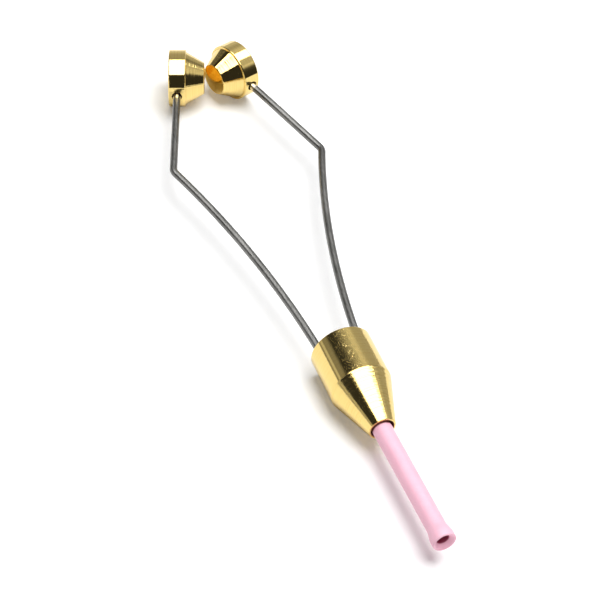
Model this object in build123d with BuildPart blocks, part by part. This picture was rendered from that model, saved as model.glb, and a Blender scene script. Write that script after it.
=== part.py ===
from build123d import *
from math import asin, atan2, cos, degrees, hypot, radians, sin
import os

os.makedirs("parts", exist_ok=True)

# Bobbin holder for fly tying, in millimetres.
# The barrel's axis is Y: the thread tube points to -Y, the legs and their feet to +Y.
# The tool lies flat with +Z up, and the origin is in the middle of the barrel's cylinder.

# Barrel, a brass cylinder that runs into a cone
barrel_dia = 10.2
barrel_length = 8.7
nose_length = 8.65
mouth_dia = 4.5
barrel_edge = 0.2
junction_round = 0.6
mouth_edge = 0.1
thread_hole_dia = 2.4
thread_hole_flare = 0.5

# Ceramic thread tube, with a collar at its tip
tube_dia = 3.2
tube_bore = 2.0
tube_reach = 23.2
tube_seat_depth = 12.0
tube_glue_gap = 0.35
tube_glue_recess = 2.5
collar_height = 0.5
collar_length = 2.9
collar_flare = 1.6
collar_round = 0.35
bore_round = 0.35

# Spring-wire legs
wire_dia = 1.3
leg_half_spacing = 3.5
leg_hole_depth = 6.0
leg_glue_gap = 0.1
leg_glue_recess = 0.4
root_straight = 0.2
root_bend_length = 1.2
root_splay = 5.4
bow_radius = 172.0
knee_splay = 20.1
knee_radius = 2.0
end_length = 23.5
leg_lean = 1.35

# Flexing point of each leg: a ball end in a cup, with a running clearance
flex_length = 8.0
flex_clearance = 0.05
cup_setback = 0.4

# Brass feet, the seats for the two ends of a spool, each set on its wire a few degrees out of the flat
rim_dia = 10.0
rim_width = 3.0
cone_base_dia = 9.2
cone_end_dia = 5.5
cone_length = 3.2
rim_edge = 0.2
cone_edge = 0.25
foot_glue_gap = 0.25
foot_glue_recess = 0.9
wire_past_center = 1.1
left_foot_turn = 7.0
right_foot_turn = -2.5
feet_gap = 0.0

# Stations along the barrel's axis
y_rear = barrel_length / 2
y_junction = -barrel_length / 2
y_mouth = y_junction - nose_length
y_seat = y_mouth + tube_seat_depth
y_tip = y_mouth - tube_reach
y_leg_hole = y_rear - leg_hole_depth

# Sizes that follow from the ones above
wire_radius = wire_dia / 2
tube_hole_dia = tube_dia + 2 * tube_glue_gap
leg_hole_dia = wire_dia + 2 * leg_glue_gap
foot_hole_dia = wire_dia + 2 * foot_glue_gap
rim_radius = rim_dia / 2
foot_reach = rim_width / 2 + cone_length
foot_hole_depth = rim_radius + wire_past_center
rear_plane = Plane(origin=(0, y_rear, 0), x_dir=(1, 0, 0), z_dir=(0, 1, 0))

# The inward tilt of a leg's end brings the far edges of the cones, drawn flat, to within the feet's gap
knee_x = (
    leg_half_spacing
    + root_bend_length * (1 - cos(radians(root_splay))) / radians(root_splay)
    + bow_radius * (cos(radians(root_splay)) - cos(radians(knee_splay)))
)
knee_side = knee_x - knee_radius * cos(radians(knee_splay)) - feet_gap / 2
tilt_across = foot_reach - knee_radius
tilt_along = end_length + cone_end_dia / 2
end_tilt = degrees(asin(knee_side / hypot(tilt_across, tilt_along)) - atan2(tilt_across, tilt_along))

# The stretch of the bow that stays with the barrel, and where the cup on its end begins
flex_turn = degrees(flex_length / bow_radius)
cup_turn = degrees((flex_length - cup_setback) / bow_radius)
bow_turn = knee_splay - root_splay


# Barrel
with BuildPart() as barrel:
    with BuildSketch(Plane.XY):
        with BuildLine():
            Polyline(
                (0, y_rear),
                (barrel_dia / 2, y_rear),
                (barrel_dia / 2, y_junction),
                (mouth_dia / 2, y_mouth),
                (0, y_mouth),
                close=True,
            )
        make_face()
    revolve(axis=Axis.Y)
    mouth_rim, junction, rear_rim = barrel.edges().filter_by(GeomType.CIRCLE).group_by(Axis.Y)
    fillet(rear_rim, barrel_edge)
    fillet(junction, junction_round)
    fillet(mouth_rim, mouth_edge)
    with Locations(Plane(origin=(0, y_mouth, 0), z_dir=(0, -1, 0))):
        CounterBoreHole(thread_hole_dia / 2, tube_hole_dia / 2, tube_seat_depth)
    with BuildSketch(rear_plane):
        with Locations((-leg_half_spacing, 0), (leg_half_spacing, 0)):
            Circle(leg_hole_dia / 2)
    extrude(amount=-leg_hole_depth, mode=Mode.SUBTRACT)
    thread_mouth = barrel.faces().sort_by(Axis.Y)[-1].edges().filter_by(GeomType.CIRCLE)
    chamfer(thread_mouth.filter_by(lambda edge: abs(edge.arc_center.X) < wire_radius), thread_hole_flare)
barrel.part.label = "barrel"
export_step(barrel.part, "parts/barrel.step")

# Thread tube
with BuildPart() as thread_tube:
    with BuildSketch(Plane.XY):
        with BuildLine():
            Polyline(
                (tube_bore / 2, y_seat),
                (tube_dia / 2, y_seat),
                (tube_dia / 2, y_tip + collar_length),
                (tube_dia / 2 + collar_height, y_tip + collar_length - collar_flare),
                (tube_dia / 2 + collar_height, y_tip),
                (tube_bore / 2, y_tip),
                close=True,
            )
        make_face()
    revolve(axis=Axis.Y)
    tip_edges = thread_tube.edges().filter_by(GeomType.CIRCLE).group_by(Axis.Y)[0]
    fillet(tip_edges.sort_by(SortBy.RADIUS)[-1], collar_round)
    tip_edges = thread_tube.edges().filter_by(GeomType.CIRCLE).group_by(Axis.Y)[0]
    fillet(tip_edges.sort_by(SortBy.RADIUS)[0], bore_round)
thread_tube.part.label = "thread_tube"
export_step(thread_tube.part, "parts/thread_tube.step")

# Adhesive sleeve between the tube and the barrel, set back from the mouth
with BuildPart() as tube_bond:
    with BuildSketch(Plane(origin=(0, y_mouth + tube_glue_recess, 0), z_dir=(0, 1, 0))):
        Circle(tube_hole_dia / 2)
        Circle(tube_dia / 2, mode=Mode.SUBTRACT)
    extrude(amount=tube_seat_depth - tube_glue_recess)
tube_bond.part.label = "tube_bond"
export_step(tube_bond.part, "parts/tube_bond.step")

# The two legs and feet, left at -X and right at +X
for name, side, foot_turn in (("left", -1, left_foot_turn), ("right", 1, right_foot_turn)):
    root_x = side * leg_half_spacing
    root_turn = root_splay + side * leg_lean
    root_bend_radius = root_bend_length / radians(root_turn)

    # Wire root: from the bottom of its hole to the cup that carries the leg
    with BuildLine(Plane.XY) as root_line:
        straight = Line((root_x, y_leg_hole), (root_x, y_rear + root_straight))
        bend = JernArc(straight @ 1, straight % 1, root_bend_radius, -side * root_turn)
        JernArc(bend @ 1, bend % 1, bow_radius, -side * cup_turn)
    with BuildLine(Plane.XY) as leg_line:
        to_flex = JernArc(bend @ 1, bend % 1, bow_radius, -side * flex_turn, mode=Mode.PRIVATE)
        bow = JernArc(to_flex @ 1, to_flex % 1, bow_radius, -side * (bow_turn - flex_turn))
        knee = JernArc(bow @ 1, bow % 1, knee_radius, side * (knee_splay + end_tilt))
        Line(knee @ 1, knee @ 1 + (end_length + wire_past_center) * (knee % 1))
    flex_point = to_flex @ 1
    wire_way = knee % 1
    foot_center = knee @ 1 + end_length * wire_way
    inward = Vector(-side * wire_way.Y, side * wire_way.X, 0)
    foot_way = inward * cos(radians(foot_turn)) + Vector(0, 0, 1) * sin(radians(foot_turn))

    with BuildPart() as leg_root:
        with BuildSketch(Plane(origin=root_line.line @ 0, z_dir=root_line.line % 0)):
            Circle(wire_radius)
        sweep(path=root_line.line)
        with Locations(flex_point):
            Sphere(wire_radius + flex_clearance, mode=Mode.SUBTRACT)
    leg_root.part.label = f"{name}_leg_root"
    export_step(leg_root.part, f"parts/{name}_leg_root.step")

    # Adhesive sleeve round the wire in its hole in the barrel
    with BuildPart() as root_bond:
        with BuildSketch(Plane(origin=(root_x, y_leg_hole, 0), z_dir=(0, 1, 0))):
            Circle(leg_hole_dia / 2)
            Circle(wire_radius, mode=Mode.SUBTRACT)
        extrude(amount=leg_hole_depth - leg_glue_recess)
    root_bond.part.label = f"{name}_root_bond"
    export_step(root_bond.part, f"parts/{name}_root_bond.step")

    # Leg: the ball end, the bow, the knee and the straight end in the foot
    with BuildPart() as leg:
        with BuildSketch(Plane(origin=leg_line.line @ 0, z_dir=leg_line.line % 0)):
            Circle(wire_radius)
        sweep(path=leg_line.line)
        with Locations(flex_point):
            Sphere(wire_radius)
    leg.part.label = f"{name}_leg"
    export_step(leg.part, f"parts/{name}_leg.step")

    # Foot: rim, flat shoulder and cone, turned about an axis that crosses the wire
    with BuildPart() as foot:
        with BuildSketch(Plane(origin=foot_center, x_dir=foot_way, z_dir=foot_way.cross(wire_way))):
            with BuildLine():
                Polyline(
                    (-rim_width / 2, 0),
                    (-rim_width / 2, rim_radius),
                    (rim_width / 2, rim_radius),
                    (rim_width / 2, cone_base_dia / 2),
                    (foot_reach, cone_end_dia / 2),
                    (foot_reach, 0),
                    close=True,
                )
            make_face()
        revolve(axis=Axis(foot_center, foot_way))
        rim_edges = foot.edges().filter_by(GeomType.CIRCLE).sort_by(SortBy.RADIUS)[-2:]
        fillet(rim_edges, rim_edge)
        fillet(foot.edges().filter_by(GeomType.CIRCLE).sort_by(Axis(foot_center, foot_way))[-1], cone_edge)
        with BuildSketch(Plane(origin=foot_center + wire_past_center * wire_way, z_dir=-wire_way)):
            Circle(foot_hole_dia / 2)
        extrude(amount=foot_hole_depth, mode=Mode.SUBTRACT)
    foot.part.label = f"{name}_foot"
    export_step(foot.part, f"parts/{name}_foot.step")

    # Adhesive sleeve round the wire in its foot
    with BuildPart() as foot_bond:
        with BuildSketch(Plane(origin=foot_center + wire_past_center * wire_way, z_dir=-wire_way)):
            Circle(foot_hole_dia / 2)
            Circle(wire_radius, mode=Mode.SUBTRACT)
        extrude(amount=foot_hole_depth - foot_glue_recess)
    foot_bond.part.label = f"{name}_foot_bond"
    export_step(foot_bond.part, f"parts/{name}_foot_bond.step")

    print(f"{name}: flex point {flex_point}, knee {knee @ 0.5}, foot {foot_center}, its axis {foot_way}")

print(f"end tilt {end_tilt:.2f} degrees, tip at y {y_tip:.2f}")
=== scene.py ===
# %% [markdown]
# # A bobbin holder for fly tying
# The tool is a brass barrel with a pink ceramic thread tube, and two sprung wire legs that end in brass feet.
# Its exact solids come from CAD, and this lesson keeps them where their shape is already right.
# It adds what CAD can't give: an unbroken bending wire, a softer ceramic lip, and the finishes.

# %% Load the frame
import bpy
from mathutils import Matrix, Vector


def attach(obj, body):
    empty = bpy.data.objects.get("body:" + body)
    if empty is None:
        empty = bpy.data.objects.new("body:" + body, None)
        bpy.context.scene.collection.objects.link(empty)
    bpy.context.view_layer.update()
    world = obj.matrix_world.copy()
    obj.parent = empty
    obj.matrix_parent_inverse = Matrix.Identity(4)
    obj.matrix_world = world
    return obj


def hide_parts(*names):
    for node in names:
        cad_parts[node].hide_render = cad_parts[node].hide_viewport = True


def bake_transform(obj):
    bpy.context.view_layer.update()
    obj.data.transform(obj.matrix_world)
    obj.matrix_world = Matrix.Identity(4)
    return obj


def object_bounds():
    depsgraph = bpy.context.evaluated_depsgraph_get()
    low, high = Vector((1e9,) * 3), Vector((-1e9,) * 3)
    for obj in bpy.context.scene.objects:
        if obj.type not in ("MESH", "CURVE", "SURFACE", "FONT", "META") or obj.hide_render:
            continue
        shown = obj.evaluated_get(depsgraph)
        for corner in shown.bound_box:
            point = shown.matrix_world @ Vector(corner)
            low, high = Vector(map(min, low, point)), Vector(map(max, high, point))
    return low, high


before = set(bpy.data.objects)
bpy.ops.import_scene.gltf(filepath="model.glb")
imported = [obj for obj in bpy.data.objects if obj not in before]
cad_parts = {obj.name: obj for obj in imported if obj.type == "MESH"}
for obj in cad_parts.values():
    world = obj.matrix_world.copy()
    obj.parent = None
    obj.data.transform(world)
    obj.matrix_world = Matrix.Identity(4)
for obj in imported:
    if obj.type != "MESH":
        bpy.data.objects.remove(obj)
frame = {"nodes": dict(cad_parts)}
cad_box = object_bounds()
print("nodes:", ", ".join(frame["nodes"]))

# %% [markdown]
# ## Lengths and directions
# The tool was measured in millimetres and Blender works in metres, so one value turns one into the other.
# Directions on the bench are given as a bearing from the feet's end (+Y) towards the right leg (+X).

# %% Units
import math
import bpy
from mathutils import Matrix, Vector

MM = 0.001
floor_z = cad_box[0][2]


def bearing(azimuth, elevation):
    """The unit vector at a bearing from +Y towards +X and a height above the horizon, both in degrees."""
    a, e = math.radians(azimuth), math.radians(elevation)
    return Vector((math.sin(a) * math.cos(e), math.cos(a) * math.cos(e), math.sin(e)))


print(f"the floor is {floor_z / MM:.2f} mm below the barrel's axis")

# %% [markdown]
# ## The camera
# The photograph looks down at 45 degrees from the side of the thread tube.
# The tool leans across the frame.
# A long lens keeps the two feet nearly the same size as the barrel, as they are there.
# The three axes of the camera are worked out first, and then its place is found from the barrel's rear face.

# %% Camera
VIEW_AZIMUTH, VIEW_ELEVATION, VIEW_ROLL = -150.89, 45.0, 10.92
CAMERA_DISTANCE = 380.2 * MM
FRAME_PIXELS, FOCAL_PIXELS = 600, 2394.4
REAR_FACE = Vector((0, 4.35, 0)) * MM
REAR_FACE_IN_FRAME = Vector((6.468, -7.751)) * MM

toward = bearing(VIEW_AZIMUTH, VIEW_ELEVATION)
level = Vector((0, 0, 1)).cross(toward).normalized()
roll = math.radians(VIEW_ROLL)
right = math.cos(roll) * level + math.sin(roll) * toward.cross(level)
up = toward.cross(right)

camera = bpy.data.objects.new("camera", bpy.data.cameras.new("camera"))
camera.data.lens = camera.data.sensor_width * FOCAL_PIXELS / FRAME_PIXELS
camera.data.clip_start = 10 * MM
place = REAR_FACE + CAMERA_DISTANCE * toward - REAR_FACE_IN_FRAME.x * right - REAR_FACE_IN_FRAME.y * up
camera.matrix_world = Matrix.Translation(place) @ Matrix((right, up, toward)).transposed().to_4x4()
bpy.context.scene.collection.objects.link(camera)
bpy.context.scene.camera = camera
bpy.context.scene.view_settings.view_transform = "Standard"
print(f"lens {camera.data.lens:.1f} mm at {tuple(round(c / MM) for c in place)} mm")

# %% [markdown]
# ## The wire legs
# Each leg is one length of spring wire.
# It leaves the barrel, bows outward, turns in at a sharp knee and ends in its foot.
# A curve with a round bevel would give the same tube, but then nothing is known along it.
# Here a ring of points is carried along the path.
# Each ring keeps its distance from the wire's end, which the finish needs.

# %% The path of a leg
WIRE_RADIUS = 0.65
LEG_HALF_SPACING, LEG_HOLE_BOTTOM = 3.5, -1.65
LEG_RUNS = {
    # length in mm and outward turn in degrees of each run, from the bottom of the hole
    "left": ((6.2, 0), (1.2, 4.05), (44.129, 14.7), (1.3893, -39.80), (24.6, 0)),
    "right": ((6.2, 0), (1.2, 6.75), (44.129, 14.7), (1.3893, -39.80), (24.6, 0)),
}
RUN_STEPS = (6, 4, 60, 14, 40)
SIDES = {"left": -1, "right": 1}


def leg_path(name):
    """Stations along a leg in mm: place, unit vector across the wire in the leg's plane, and length so far."""
    side = SIDES[name]
    place, heading, length = Vector((side * LEG_HALF_SPACING, LEG_HOLE_BOTTOM, 0)), 0.0, 0.0
    stations = []
    for (run, turn), steps in zip(LEG_RUNS[name], RUN_STEPS):
        step, swing = run / steps, math.radians(turn) / steps
        chord = step * (math.sin(swing / 2) / (swing / 2) if swing else 1)
        for _ in range(steps):
            across = Vector((side * math.cos(heading), -math.sin(heading), 0))
            stations.append((place.copy(), across, length))
            middle = heading + swing / 2
            place += chord * Vector((side * math.sin(middle), math.cos(middle), 0))
            heading, length = heading + swing, length + step
    across = Vector((side * math.cos(heading), -math.sin(heading), 0))
    stations.append((place.copy(), across, length))
    return stations


for name in SIDES:
    print(name, "leg ends at", tuple(round(c, 2) for c in leg_path(name)[-1][0]), "mm")

# %% Sweep the wire
WIRE_SIDES = 32


def skin(name, rings, close_rings, caps):
    """A smooth mesh through rings of points in mm, optionally joined last to first or capped."""
    count = len(rings[0])
    points = [p * MM for ring in rings for p in ring]
    faces = []
    for i in range(len(rings) if close_rings else len(rings) - 1):
        a, b = i * count, (i + 1) % len(rings) * count
        faces += [(a + j, a + (j + 1) % count, b + (j + 1) % count, b + j) for j in range(count)]
    if caps:
        faces += [tuple(reversed(range(count))), tuple(range(len(points) - count, len(points)))]
    mesh = bpy.data.meshes.new(name)
    mesh.from_pydata(points, [], faces)
    mesh.shade_smooth()
    thing = bpy.data.objects.new(name, mesh)
    bpy.context.scene.collection.objects.link(thing)
    return thing


def leg_wire(name):
    """One leg's wire, with the distance from its end in the foot on every point."""
    stations = leg_path(name)
    turns = [2 * math.pi * SIDES[name] * i / WIRE_SIDES for i in range(WIRE_SIDES)]
    lift = Vector((0, 0, 1))
    rings = [
        [place + WIRE_RADIUS * (math.cos(t) * across + math.sin(t) * lift) for t in turns]
        for place, across, _ in stations
    ]
    wire = skin(f"{name}_wire", rings, False, True)
    from_end = wire.data.attributes.new("from_end", "FLOAT", "POINT")
    whole = stations[-1][2]
    from_end.data.foreach_set("value", [whole - s[2] for s in stations for _ in turns])
    return wire


wires = {name: leg_wire(name) for name in SIDES}
print({name: len(wire.data.polygons) for name, wire in wires.items()}, "faces")

# %% [markdown]
# ## The legs in one piece
# On the real tool a leg bends along its root when a spool is pressed in between the feet.
# The CAD model stands for that with one hinge in each wire, where two stiff halves would show a crease.
# Here both CAD halves are hidden, and the swept wire takes their place as it was drawn, unbent.

# %% Hide the CAD legs
for name, wire in wires.items():
    path = leg_path(name)
    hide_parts(f"{name}_leg_root", f"{name}_leg")
    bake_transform(wire)

# %% [markdown]
# ## The ceramic tube
# The tube is a fired ceramic rod with a fine bore.
# Its tip swells into a collar that keeps the thread from fraying.
# Its outline is drawn once and spun round the axis, as a potter's template is.
# A smoothed step gives the collar the soft swelling of ceramic, where a cone would leave two hard creases.
# The end face dips from a narrow lip into the bore like a shallow funnel, so nothing there cuts the thread.
# The barrel's hole is a loose fit: the tube sank in it and was left about a degree off the axis.

# %% Thread tube
TUBE_RADIUS, COLLAR_RADIUS, BORE_RADIUS = 1.6, 1.94, 0.97
TUBE_SEAT, TUBE_TIP = -1.0, -36.2
COLLAR_START, COLLAR_FULL = -33.1, -35.1
LIP_ROUND, FUNNEL_DEPTH = 0.2, 0.85
BARREL_MOUTH = Vector((0, -13.0, 0)) * MM
TUBE_SET, TUBE_SAG, TUBE_RISE = 1.1, 0.15, 0.37
TUBE_SIDES = 96
SKIN_STEPS, SWELL_STEPS, LIP_STEPS, FUNNEL_STEPS = 12, 16, 14, 10
LIP_TURN, FUNNEL_CURVE = 0.75, 1.3


def smooth_step(t):
    """From 0 to 1 with level ends."""
    t = min(max(t, 0.0), 1.0)
    return t * t * (3 - 2 * t)


def tube_outline():
    """The tube's outline as (y, radius) in mm: out along the skin, round the lip, and back up the bore."""
    skin_length, swell_length = COLLAR_START - TUBE_SEAT, COLLAR_FULL - COLLAR_START
    outline = [(TUBE_SEAT + skin_length * i / SKIN_STEPS, TUBE_RADIUS) for i in range(SKIN_STEPS + 1)]
    for i in range(1, SWELL_STEPS + 1):
        swell = (COLLAR_RADIUS - TUBE_RADIUS) * smooth_step(i / SWELL_STEPS)
        outline.append((COLLAR_START + swell_length * i / SWELL_STEPS, TUBE_RADIUS + swell))
    for i in range(LIP_STEPS + 1):
        a = math.pi * LIP_TURN * i / LIP_STEPS
        radius = COLLAR_RADIUS - LIP_ROUND * (1 - math.cos(a))
        outline.append((TUBE_TIP + LIP_ROUND * (1 - math.sin(a)), radius))
    funnel_start, funnel_radius = outline[-1]
    for i in range(1, FUNNEL_STEPS + 1):
        depth = funnel_start + (TUBE_TIP + FUNNEL_DEPTH - funnel_start) * i / FUNNEL_STEPS
        narrowing = (1 - i / FUNNEL_STEPS) ** FUNNEL_CURVE
        outline.append((depth, BORE_RADIUS + (funnel_radius - BORE_RADIUS) * narrowing))
    outline.append((TUBE_SEAT, BORE_RADIUS))
    return outline


def spin(name, outline, sides):
    """A solid of revolution about the barrel's axis from a closed outline of (y, radius) in mm."""
    turns = [2 * math.pi * i / sides for i in range(sides)]
    rings = [[Vector((r * math.cos(t), y, r * math.sin(t))) for t in turns] for y, r in outline]
    thing = skin(name, rings, True, False)
    radius = thing.data.attributes.new("radius", "FLOAT", "POINT")
    radius.data.foreach_set("value", [r for _, r in outline for _ in turns])
    return thing


tube = spin("ceramic_tube", tube_outline(), TUBE_SIDES)
raised = Matrix.Rotation(math.radians(-TUBE_RISE), 4, "X")
set_over = Matrix.Rotation(math.radians(TUBE_SET), 4, "Z") @ raised
sag = Matrix.Translation((0, 0, -TUBE_SAG * MM))
tube.data.transform(sag @ Matrix.Translation(BARREL_MOUTH) @ set_over @ Matrix.Translation(-BARREL_MOUTH))
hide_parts("thread_tube")
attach(tube, "holder")
print("ceramic tube:", len(tube.data.polygons), "faces")

# %% [markdown]
# ## Small helpers for materials
# Every finish below is built from shader nodes, and a few helpers keep that short.
# One adds a node and sets its values, and the others are the sums and mixes that more than one finish needs.

# %% Node helpers


def add(tree, kind, settings=(), **inputs):
    """A new node with its settings and inputs (i0 for the first); an input that is a socket is linked."""
    node = tree.nodes.new(kind)
    for key, value in dict(settings).items():
        setattr(node, key, value)
    for key, value in inputs.items():
        numbered = key[0] == "i" and key[1:].isdigit()
        socket = node.inputs[int(key[1:])] if numbered else node.inputs[key.replace("_", " ")]
        if isinstance(value, bpy.types.NodeSocket):
            tree.links.new(value, socket)
        else:
            socket.default_value = value
    return node


def math_node(tree, operation, a, b=0.0):
    return add(tree, "ShaderNodeMath", {"operation": operation}, i0=a, i1=b).outputs[0]


def vector_node(tree, operation, a, b):
    made = add(tree, "ShaderNodeVectorMath", {"operation": operation}, i0=a, i1=b)
    return made.outputs["Value" if operation == "DOT_PRODUCT" else "Vector"]


def scaled(tree, vector, factor):
    made = add(tree, "ShaderNodeVectorMath", {"operation": "SCALE"}, Vector=vector, Scale=factor)
    return made.outputs["Vector"]


def plus(tree, base, mask, share):
    """A base with a share of a mask added to it."""
    return math_node(tree, "ADD", base, math_node(tree, "MULTIPLY", mask, share))


def noise(tree, scale, detail, settings=(), **inputs):
    """The value of a noise texture."""
    return add(tree, "ShaderNodeTexNoise", settings, Scale=scale, Detail=detail, **inputs).outputs[0]


def step_node(tree, value, start, end, low=0.0, high=1.0):
    """Runs from low to high, level at both ends, as the value goes from start to end."""
    return add(tree, "ShaderNodeMapRange", {"interpolation_type": "SMOOTHSTEP"}, Value=value, From_Min=start,
               From_Max=end, To_Min=low, To_Max=high).outputs[0]


def mix_colour(tree, factor, first, second):
    return add(tree, "ShaderNodeMix", {"data_type": "RGBA"}, Factor=factor, i6=first, i7=second).outputs[2]


def new_group(name, inputs, outputs):
    """An empty node group with named sockets, and its input and output nodes."""
    group = bpy.data.node_groups.new(name, "ShaderNodeTree")
    for label, kind in inputs.items():
        group.interface.new_socket(label, in_out="INPUT", socket_type=f"NodeSocket{kind}")
    for label, kind in outputs.items():
        group.interface.new_socket(label, in_out="OUTPUT", socket_type=f"NodeSocket{kind}")
    return group, group.nodes.new("NodeGroupInput").outputs, group.nodes.new("NodeGroupOutput").inputs


def finish_of(name):
    """A new material, its node tree and its Principled shader."""
    material = bpy.data.materials.new(name)
    material.use_nodes = True
    return material, material.node_tree, material.node_tree.nodes["Principled BSDF"]


def bumped(tree, shader, height, strength, depth):
    """Gives a shader a bump, with its depth in mm."""
    bump = add(tree, "ShaderNodeBump", Strength=strength, Distance=depth * MM, Height=height)
    tree.links.new(bump.outputs[0], shader.inputs["Normal"])


def dress(node, material):
    """Gives a CAD node or a piece one material."""
    node.data.materials.clear()
    node.data.materials.append(material)


print("node helpers ready")

# %% [markdown]
# ## Turning marks
# The brass pieces come off a lathe.
# The cutter leaves fine rings round each one, coarser on a cone than on a rim.
# Straight rims are rubbed down afterwards.
# That leaves a faint mottle and hair lines on the side that lies uppermost.
# All of it is only microns deep, so a node group gives it as heights for a bump.
# The group is given each piece's own axis, so that it serves the barrel and both feet.

# %% Node group for turning marks
WOBBLE_SCALE, WOBBLE = 0.7, 0.12
COARSE_SCALE, FINE_SCALE, FINE_SHARE, RIM_SHARE = 2.6, 9.0, 0.12, 0.05
WORM_SCALE, WORM_TWIST, WORM_STRETCH = 2.4, 1.2, 0.55
HAIR_SCALE, HAIR_SHARE, HAIR_STRETCH = 6.0, 0.25, 0.96
RUB_FROM, RUB_FULL, CONE_RUB_SHARE = 3.6, 4.4, 0.3
DEEP_FROM, DEEP_FULL = 0.5, 0.72


def stretched(tree, place, axis, along, share):
    """A place with a share of its length along an axis taken off, which draws a pattern out that way."""
    return vector_node(tree, "SUBTRACT", place, scaled(tree, axis, math_node(tree, "MULTIPLY", along, share)))


def turning_marks():
    """Where the cone starts and ends is in mm along the axis; the depths are in mm too."""
    group, given, result = new_group(
        "turning marks",
        {"Centre": "Vector", "Axis": "Vector", "Cone Start": "Float", "Cone End": "Float",
         "Ring Depth": "Float", "Mottle Depth": "Float"},
        {"Height": "Float", "Deep": "Float", "Cone": "Float"},
    )
    here = add(group, "ShaderNodeTexCoord").outputs["Object"]
    offset = scaled(group, vector_node(group, "SUBTRACT", here, given["Centre"]), 1 / MM)
    along = vector_node(group, "DOT_PRODUCT", offset, given["Axis"])
    past_start = math_node(group, "GREATER_THAN", along, given["Cone Start"])
    before_end = math_node(group, "LESS_THAN", along, given["Cone End"])
    cone = math_node(group, "MULTIPLY", past_start, before_end)

    ring = plus(group, along, noise(group, WOBBLE_SCALE, 1.0, Vector=offset), WOBBLE)
    coarse = noise(group, COARSE_SCALE, 2.0, {"noise_dimensions": "1D"}, W=ring)
    fine = noise(group, FINE_SCALE, 2.0, {"noise_dimensions": "1D"}, W=ring)
    rings = plus(group, coarse, fine, FINE_SHARE)
    ring_share = step_node(group, cone, 0, 1, RIM_SHARE, 1.0)
    ring_depth = math_node(group, "MULTIPLY", given["Ring Depth"], ring_share)

    worm_place = stretched(group, offset, given["Axis"], along, WORM_STRETCH)
    worms = noise(group, WORM_SCALE, 2.0, Vector=worm_place, Distortion=WORM_TWIST)
    hair_place = stretched(group, offset, given["Axis"], along, HAIR_STRETCH)
    rubbed = plus(group, worms, noise(group, HAIR_SCALE, 2.0, Vector=hair_place), HAIR_SHARE)
    lift = add(group, "ShaderNodeSeparateXYZ", Vector=offset).outputs["Z"]
    upper_side = step_node(group, lift, RUB_FROM, RUB_FULL)
    rub_depth = math_node(group, "MULTIPLY", given["Mottle Depth"], upper_side)
    rub_depth = math_node(group, "MULTIPLY", rub_depth, step_node(group, cone, 0, 1, 1.0, CONE_RUB_SHARE))

    ring_height = math_node(group, "MULTIPLY", rings, ring_depth)
    height = math_node(group, "ADD", ring_height, math_node(group, "MULTIPLY", rubbed, rub_depth))
    group.links.new(height, result["Height"])
    group.links.new(step_node(group, fine, DEEP_FROM, DEEP_FULL), result["Deep"])
    group.links.new(cone, result["Cone"])
    return group


marks_group = turning_marks()
print("group:", marks_group.name, [s.name for s in marks_group.interface.items_tree])

# %% [markdown]
# ## Brass
# Turned brass is sharp round the piece and blurred along it, because the rings scatter light along the axis.
# An even roughness would blur both ways and look cast.
# The shader's anisotropy does this, with its tangent laid round the lathe's axis and turned by a quarter.
# The feet were cut finer than the barrel, so their cones blur less.

# %% Brass for a turned piece
BRASS, BRASS_DEEP = (0.92, 0.70, 0.26, 1), (0.82, 0.57, 0.17, 1)
# The hole's colour is painted shade: dark reddish brown where the hole's wall lies in shadow.
HOLE_PAINTED_SHADE = (0.38, 0.13, 0.10, 1)
RUBBED_ROUGHNESS, DEEP_ROUGHER, HOLE_ROUGHER = 0.06, 0.02, 0.4
ANISOTROPY, QUARTER_TURN = 0.9, 0.25


def turned_brass(name, centre, axis, cone, rings, mottle, hole_radius):
    """Brass turned about an axis, ringed on its cone and rubbed smooth elsewhere, with shade painted into its
    hole.
    """
    cone_start, cone_end = cone
    ring_depth, ring_roughness = rings
    material, tree, shader = finish_of(name)
    marks = add(tree, "ShaderNodeGroup", {"node_tree": marks_group}, Centre=centre, Axis=axis,
                Cone_Start=cone_start, Cone_End=cone_end, Ring_Depth=ring_depth, Mottle_Depth=mottle).outputs
    here = add(tree, "ShaderNodeTexCoord").outputs["Object"]
    round_piece = vector_node(tree, "CROSS_PRODUCT", axis, vector_node(tree, "SUBTRACT", here, centre))
    world = add(tree, "ShaderNodeVectorTransform",
                {"vector_type": "VECTOR", "convert_from": "OBJECT", "convert_to": "WORLD"}, Vector=round_piece)
    tree.links.new(world.outputs[0], shader.inputs["Tangent"])
    apart = add(tree, "ShaderNodeVectorMath", {"operation": "LENGTH"}, Vector=round_piece).outputs["Value"]
    # Painted shade: inside the hole the brass is mixed to a rough dark reddish brown.
    hole = math_node(tree, "MULTIPLY", math_node(tree, "LESS_THAN", apart, hole_radius), marks["Cone"])
    turned = mix_colour(tree, marks["Deep"], BRASS, BRASS_DEEP)
    tree.links.new(mix_colour(tree, hole, turned, HOLE_PAINTED_SHADE), shader.inputs["Base Color"])
    rough = step_node(tree, marks["Cone"], 0, 1, RUBBED_ROUGHNESS, ring_roughness)
    rough = plus(tree, rough, marks["Deep"], DEEP_ROUGHER)
    tree.links.new(plus(tree, rough, hole, HOLE_ROUGHER), shader.inputs["Roughness"])
    bumped(tree, shader, marks["Height"], 1.0, 1.0)
    shader.inputs["Metallic"].default_value = 1.0
    shader.inputs["Anisotropic"].default_value = ANISOTROPY
    shader.inputs["Anisotropic Rotation"].default_value = QUARTER_TURN
    return material


print("brass from", BRASS[:3], "to", BRASS_DEEP[:3])

# %% Brass on the barrel and the feet
FEET = {
    # centre, and the way its cone points
    "left": (Vector((-3.77274, 72.18176, 0)) * MM, Vector((0.92631, -0.356507, 0.121869))),
    "right": (Vector((6.9301, 72.09539, 0)) * MM, Vector((-0.948247, -0.314523, -0.043619))),
}
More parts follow.
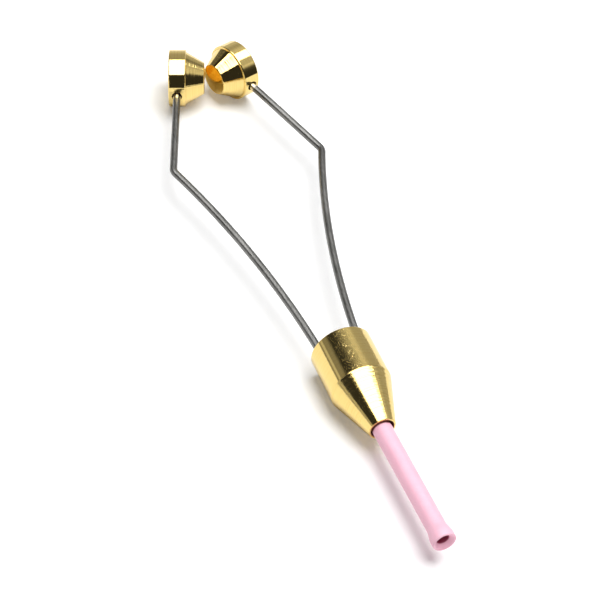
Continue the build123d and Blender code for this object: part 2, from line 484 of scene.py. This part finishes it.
# where each cone starts and ends, then the depth and the roughness of its rings
BARREL_CONE, FOOT_CONE = (4.35, 14.0), (1.5, 4.66)
BARREL_RINGS, FOOT_RINGS = (0.05, 0.15), (0.03, 0.08)
BARREL_MOTTLE, FOOT_MOTTLE = 0.023, 0.003
# inside this radius the barrel's hole gets the painted shade
SHADED_HOLE_RADIUS = 2.0

barrel_brass = turned_brass("barrel brass", Vector((0, 0, 0)), Vector((0, -1, 0)), BARREL_CONE, BARREL_RINGS,
                            BARREL_MOTTLE, SHADED_HOLE_RADIUS * MM)
dress(frame["nodes"]["barrel"], barrel_brass)
for name, (centre, axis) in FEET.items():
    foot_brass = turned_brass(f"{name} foot brass", centre, axis, FOOT_CONE, FOOT_RINGS, FOOT_MOTTLE, 0)
    dress(frame["nodes"][f"{name}_foot"], foot_brass)
print("brass on the barrel and both feet")

# %% [markdown]
# ## Fine grain
# Steel, ceramic and adhesive all have a grain that is too fine to model, each at its own size.
# One node group serves the three: a mask for colour and roughness, and a height for a slight bump.

# %% Node group for fine grain
BROAD_SCALE, SMALL_SHARE, BROAD_SHARE = 0.12, 0.55, 0.45
MASK_FROM, MASK_FULL = 0.35, 0.65


def fine_grain():
    """The scale is in grains per mm of the given coordinates."""
    group, given, result = new_group(
        "fine grain", {"Coordinates": "Vector", "Scale": "Float"}, {"Mask": "Float", "Height": "Float"}
    )
    place = given["Coordinates"]
    small = noise(group, given["Scale"], 3.0, Vector=place)
    broad = noise(group, math_node(group, "MULTIPLY", given["Scale"], BROAD_SCALE), 2.0, Vector=place)
    both = plus(group, math_node(group, "MULTIPLY", small, SMALL_SHARE), broad, BROAD_SHARE)
    group.links.new(step_node(group, both, MASK_FROM, MASK_FULL), result["Mask"])
    group.links.new(small, result["Height"])
    return group


grain_group = fine_grain()


def grain_on(tree, coordinates, scale):
    """The fine grain's outputs, placed in a material."""
    return add(tree, "ShaderNodeGroup", {"node_tree": grain_group}, Coordinates=coordinates, Scale=scale).outputs


def in_mm(tree):
    """The piece's own coordinates in mm."""
    return scaled(tree, add(tree, "ShaderNodeTexCoord").outputs["Object"], 1 / MM)


print("group:", grain_group.name, [s.name for s in grain_group.interface.items_tree])

# %% [markdown]
# ## Spring steel
# The wire is pulled through a die, which leaves a satin grey skin with its grain along the wire.
# Its distance from the end replaces one coordinate of the grain, so the grain follows the bow and the knee.
# The last millimetre in front of each foot was ground bare to take the adhesive, and it shines.

# %% Steel wire
BARE_FROM, BARE_TO = 7.1, 6.9
STEEL_DARK, STEEL_LIGHT = (0.17, 0.168, 0.16, 1), (0.27, 0.266, 0.255, 1)
STEEL_BARE = (0.80, 0.79, 0.76, 1)
STEEL_GRAIN, DRAWN_OUT = 7.0, 0.12
STEEL_ROUGHNESS, STEEL_ROUGHER, BARE_SMOOTHER = 0.29, 0.1, 0.08
STEEL_BUMP = (0.5, 0.004)  # strength, and depth in mm


def drawn_steel():
    material, tree, shader = finish_of("drawn spring steel")
    from_end = add(tree, "ShaderNodeAttribute", {"attribute_name": "from_end"}).outputs["Fac"]
    sides = add(tree, "ShaderNodeSeparateXYZ", Vector=in_mm(tree)).outputs
    drawn = math_node(tree, "MULTIPLY", from_end, DRAWN_OUT)
    flow = add(tree, "ShaderNodeCombineXYZ", X=sides["X"], Y=drawn, Z=sides["Z"]).outputs[0]
    grain = grain_on(tree, flow, STEEL_GRAIN)
    bare = step_node(tree, from_end, BARE_FROM, BARE_TO)
    satin = mix_colour(tree, grain["Mask"], STEEL_DARK, STEEL_LIGHT)
    tree.links.new(mix_colour(tree, bare, satin, STEEL_BARE), shader.inputs["Base Color"])
    satin_rough = plus(tree, STEEL_ROUGHNESS, grain["Mask"], STEEL_ROUGHER)
    tree.links.new(plus(tree, satin_rough, bare, -BARE_SMOOTHER), shader.inputs["Roughness"])
    bumped(tree, shader, grain["Height"], *STEEL_BUMP)
    shader.inputs["Metallic"].default_value = 1.0
    return material


steel = drawn_steel()
for wire in wires.values():
    dress(wire, steel)
print("steel on", ", ".join(w.name for w in wires.values()))

# %% [markdown]
# ## Ceramic
# The tube is pink alumina, fired and tumbled to a satin gloss, so it has a pale sheen over a chalky pink.
# In the bore the pink light bounces many times and comes out a deep maroon.
# The path tracer only follows a few of those bounces, so the colour deepens with nearness to the axis.
# Light also soaks through the thin wall and lifts the shaded side.
# A faint pink glow stands for that, except in the bore and in the painted shade of the mouth.
# Where the tube enters the barrel, its skin is painted dark reddish brown, a painted shade for the shadowed gap
# there.
# That makes a dark ring in the mouth.

# %% Ceramic tube
PINK, PINK_PALE = (0.85, 0.45, 0.555, 1), (0.87, 0.495, 0.60, 1)
BORE_MAROON, BORE_EDGE = (0.42, 0.042, 0.12, 1), 0.12
GLOW_PINK, NO_GLOW, GLOW_LEVEL = (0.93, 0.46, 0.64, 1), (0, 0, 0, 1), 0.15
# The mouth's colour is painted shade: the tube's skin just inside the barrel goes dark reddish brown.
MOUTH_SHADE_BROWN, MOUTH_SHADE_START, MOUTH_SHADE_FULL = (0.29, 0.088, 0.066, 1), -13.12, -12.96
CERAMIC_GRAIN, CERAMIC_ROUGHNESS, CERAMIC_ROUGHER = 5.0, 0.48, 0.08
CERAMIC_BUMP = (0.4, 0.004)


def fired_ceramic():
    material, tree, shader = finish_of("pink ceramic")
    here = in_mm(tree)
    grain = grain_on(tree, here, CERAMIC_GRAIN)
    skin_colour = mix_colour(tree, grain["Mask"], PINK, PINK_PALE)
    radius = add(tree, "ShaderNodeAttribute", {"attribute_name": "radius"}).outputs["Fac"]
    bore = step_node(tree, radius, BORE_RADIUS + BORE_EDGE, BORE_RADIUS)
    along = add(tree, "ShaderNodeSeparateXYZ", Vector=here).outputs["Y"]
    # Painted shade: dark reddish brown and no glow on the skin inside the mouth.
    mouth_shade = step_node(tree, along, MOUTH_SHADE_START, MOUTH_SHADE_FULL)
    clean = mix_colour(tree, bore, skin_colour, BORE_MAROON)
    tree.links.new(mix_colour(tree, mouth_shade, clean, MOUTH_SHADE_BROWN), shader.inputs["Base Color"])
    rough = plus(tree, CERAMIC_ROUGHNESS, grain["Mask"], CERAMIC_ROUGHER)
    tree.links.new(rough, shader.inputs["Roughness"])
    bumped(tree, shader, grain["Height"], *CERAMIC_BUMP)
    shader.inputs["Specular IOR Level"].default_value = 1.0
    unlit = math_node(tree, "MAXIMUM", bore, mouth_shade)
    tree.links.new(mix_colour(tree, unlit, GLOW_PINK, NO_GLOW), shader.inputs["Emission Color"])
    shader.inputs["Emission Strength"].default_value = GLOW_LEVEL
    return material


dress(tube, fired_ceramic())
print("ceramic on", tube.name)

# %% [markdown]
# ## Adhesive
# The joints are set with a brown two-part adhesive.
# It shows as a dark ring in the barrel's mouth and in each foot.
# It dries uneven, glossy in the hollows and dull on the lumps.

# %% Adhesive rings
ADHESIVE_DARK, ADHESIVE_LIGHT = (0.05, 0.02, 0.012, 1), (0.16, 0.07, 0.045, 1)
ADHESIVE_GRAIN, ADHESIVE_ROUGHNESS, ADHESIVE_ROUGHER = 3.0, 0.35, 0.3
ADHESIVE_BUMP = (0.8, 0.05)


def set_adhesive():
    material, tree, shader = finish_of("set adhesive")
    grain = grain_on(tree, in_mm(tree), ADHESIVE_GRAIN)
    colour = mix_colour(tree, grain["Mask"], ADHESIVE_DARK, ADHESIVE_LIGHT)
    tree.links.new(colour, shader.inputs["Base Color"])
    rough = plus(tree, ADHESIVE_ROUGHNESS, grain["Mask"], ADHESIVE_ROUGHER)
    tree.links.new(rough, shader.inputs["Roughness"])
    bumped(tree, shader, grain["Height"], *ADHESIVE_BUMP)
    return material


adhesive = set_adhesive()
bonds = [name for name in frame["nodes"] if name.endswith("_bond")]
for name in bonds:
    dress(frame["nodes"][name], adhesive)
print("adhesive on", ", ".join(bonds))

# %% [markdown]
# ## The bench
# A white sheet lies under the tool and keeps its shadows.
# A little glow takes the sheet up to plain white for the camera.

# %% White sheet
SHEET_HALF = 6.0
SHEET_WHITE = (0.97, 0.97, 0.97, 1)
GLOW_TO_CAMERA = 0.17


def sheet_on_bench():
    ways = ((-1, -1), (1, -1), (1, 1), (-1, 1))
    corners = [(x * SHEET_HALF, y * SHEET_HALF, floor_z) for x, y in ways]
    mesh = bpy.data.meshes.new("sheet")
    mesh.from_pydata(corners, [], [(0, 1, 2, 3)])
    sheet = bpy.data.objects.new("sheet", mesh)
    bpy.context.scene.collection.objects.link(sheet)
    material, tree, shader = finish_of("white sheet")
    shader.inputs["Base Color"].default_value = SHEET_WHITE
    shader.inputs["Roughness"].default_value = 1.0
    shader.inputs["Specular IOR Level"].default_value = 0.0
    rays = add(tree, "ShaderNodeLightPath").outputs
    glow = math_node(tree, "MULTIPLY", rays["Is Camera Ray"], GLOW_TO_CAMERA)
    shader.inputs["Emission Color"].default_value = (1, 1, 1, 1)
    tree.links.new(glow, shader.inputs["Emission Strength"])
    sheet.data.materials.append(material)
    return sheet


print("sheet at z", round(sheet_on_bench().data.vertices[0].co.z / MM, 2), "mm")

# %% [markdown]
# ## The light
# One lamp hangs over the bench, a little to the right, small enough for the shadows to have a core.
# Bright metal shows the room round it, so a white panel and grey and dark walls stand about the bench.
# They only show in reflections: a wall that also lit the sheet would wash the shadows out.

# %% Lamp
LIGHT_HEIGHT = 2.0
LAMP_WIDTH, LAMP_RIGHT, LAMP_LEVEL = 1.85, 0.37, 6.4

lamp = bpy.data.objects.new("lamp", bpy.data.lights.new("lamp", "AREA"))
lamp.data.shape = "DISK"
lamp.data.size = LAMP_WIDTH
lamp.data.energy = LAMP_LEVEL * math.pi * math.pi * (LAMP_WIDTH / 2) ** 2
lamp.location = (LAMP_RIGHT, 0, LIGHT_HEIGHT)
lamp.visible_glossy = False
bpy.context.scene.collection.objects.link(lamp)
lamp_angle = math.degrees(2 * math.atan(LAMP_WIDTH / 2 / LIGHT_HEIGHT))
print(f"lamp of {lamp.data.energy:.0f} W, {lamp_angle:.0f} degrees wide")

# %% Boards that only show in reflections
def reflector(name, corners, faces, tones):
    """A board that only shows in reflections, with a brightness on each corner."""
    mesh = bpy.data.meshes.new(name)
    mesh.from_pydata(corners, [], faces)
    tone = mesh.attributes.new("tone", "FLOAT", "POINT")
    tone.data.foreach_set("value", tones)
    board = bpy.data.objects.new(name, mesh)
    bpy.context.scene.collection.objects.link(board)
    material = bpy.data.materials.new(name)
    material.use_nodes = True
    tree = material.node_tree
    tree.nodes.clear()
    read = add(tree, "ShaderNodeAttribute", {"attribute_name": "tone"})
    glow = add(tree, "ShaderNodeEmission", Strength=read.outputs["Fac"])
    add(tree, "ShaderNodeOutputMaterial", Surface=glow.outputs[0])
    board.data.materials.append(material)
    board.visible_camera = board.visible_diffuse = board.visible_shadow = False
    board.visible_transmission = board.visible_volume_scatter = False
    return board


print("reflector boards ready")

# %% White panel
PANEL_OUTLINE = (
    (-0.62, -0.60), (0.35, -0.60), (0.60, 0.02), (0.92, 0.16), (0.92, 0.45),
    (0.12, 0.63), (-0.4, 0.63), (-1.1, 0.80), (-0.62, 0.25),
)
PANEL_TONE = 4.2

panel_corners = [Vector((x, y, 1)) * LIGHT_HEIGHT for x, y in PANEL_OUTLINE]
panel_face = tuple(range(len(panel_corners)))
reflector("white panel", panel_corners, [panel_face], [PANEL_TONE] * len(panel_corners))
print("white panel of", len(panel_corners), "corners, tone", PANEL_TONE)

# %% The walls' tones
WALL_DARK, WALL_GREY, WALL_BROWN = 0.03, 0.38, 0.25
HIGH_TONE, SIDE_TONE, LOW_TONE, NICHE_TONE, PALE_TONE = 0.25, 0.12, 0.2, -0.22, 0.28
LEDGE_SPAN, LEDGE_TOP, LEDGE_TONE = (-130, -25), 13, 0.55
UNDER_LEDGE, UNDER_TONE = 6, 0.3


def rise(angle, start, width):
    """From 0 to 1 over a width in degrees, from where it starts."""
    return smooth_step((angle - start) / width)


def fall(angle, end, width):
    """From 1 to 0 over a width in degrees, up to where it ends."""
    return smooth_step((end - angle) / width)


def wall_tone(azimuth, elevation):
    """How bright the room is at a bearing: dark in front, grey behind and right, a ledge low on the left."""
    start, end = LEDGE_SPAN
    if start < azimuth < end and elevation < LEDGE_TOP:
        return UNDER_TONE if elevation < UNDER_LEDGE else LEDGE_TONE
    back = rise(azimuth, -36, 58) * fall(azimuth, 128, 8)
    high = rise(azimuth, 14, 14) * fall(azimuth, 46, 12) * rise(elevation, 30, 10)
    side = rise(azimuth, 60, 15) * rise(elevation, 30, 10)
    low = fall(elevation, 28, 18) * fall(azimuth, 48, 10)
    niche = rise(azimuth, 50, 6) * fall(azimuth, 72, 8) * rise(elevation, 18, 5) * fall(elevation, 36, 4)
    pale = rise(azimuth, 88, 10) * rise(elevation, 31, 5) * fall(elevation, 46, 5)
    grey = WALL_GREY + HIGH_TONE * high + SIDE_TONE * side + LOW_TONE * low
    grey += NICHE_TONE * niche + PALE_TONE * pale
    brown = rise(azimuth, -75, 15) * fall(azimuth, -20, 15) * fall(elevation, 34, 12)
    return max(WALL_DARK + back * grey, WALL_BROWN * brown)


print("behind the tool the walls are", round(wall_tone(0, 45), 2), "and in front", round(wall_tone(180, 45), 2))

# %% Walls
WALL_RADIUS, WALL_TOP = 4.0, 85
ROUND_STEPS, UP_STEPS = 180, 85

corners, tones, faces = [], [], []
for i in range(UP_STEPS + 1):
    for j in range(ROUND_STEPS):
        azimuth, elevation = -180 + 360 * j / ROUND_STEPS, WALL_TOP * i / UP_STEPS
        corners.append(WALL_RADIUS * bearing(azimuth, elevation))
        tones.append(wall_tone(azimuth, elevation))
for i in range(UP_STEPS):
    for j in range(ROUND_STEPS):
        a, b = i * ROUND_STEPS, (j + 1) % ROUND_STEPS
        faces.append((a + j, a + b, a + ROUND_STEPS + b, a + ROUND_STEPS + j))
reflector("walls", corners, faces, tones)
print("walls: tones from", round(min(tones), 2), "to", round(max(tones), 2))

# %% [markdown]
# ## The room
# The camera and the metal see plain white where nothing else stands.
# Only a weak fill from there lights the tool, so that the lamp's shadows stay.

# %% World
WORLD_FILL = 0.1

world = bpy.data.worlds.new("room light")
bpy.context.scene.world = world
world.use_nodes = True
tree = world.node_tree
tree.nodes.clear()
rays = add(tree, "ShaderNodeLightPath").outputs
mirrored = math_node(tree, "MAXIMUM", rays["Is Glossy Ray"], rays["Is Transmission Ray"])
seen = math_node(tree, "MAXIMUM", rays["Is Camera Ray"], mirrored)
fill = add(tree, "ShaderNodeBackground", Color=(1, 1, 1, 1), Strength=WORLD_FILL)
white = add(tree, "ShaderNodeBackground", Color=(1, 1, 1, 1), Strength=1.0)
both = add(tree, "ShaderNodeMixShader", i0=seen, i1=fill.outputs[0], i2=white.outputs[0])
add(tree, "ShaderNodeOutputWorld", Surface=both.outputs[0])
print("world fill", WORLD_FILL)
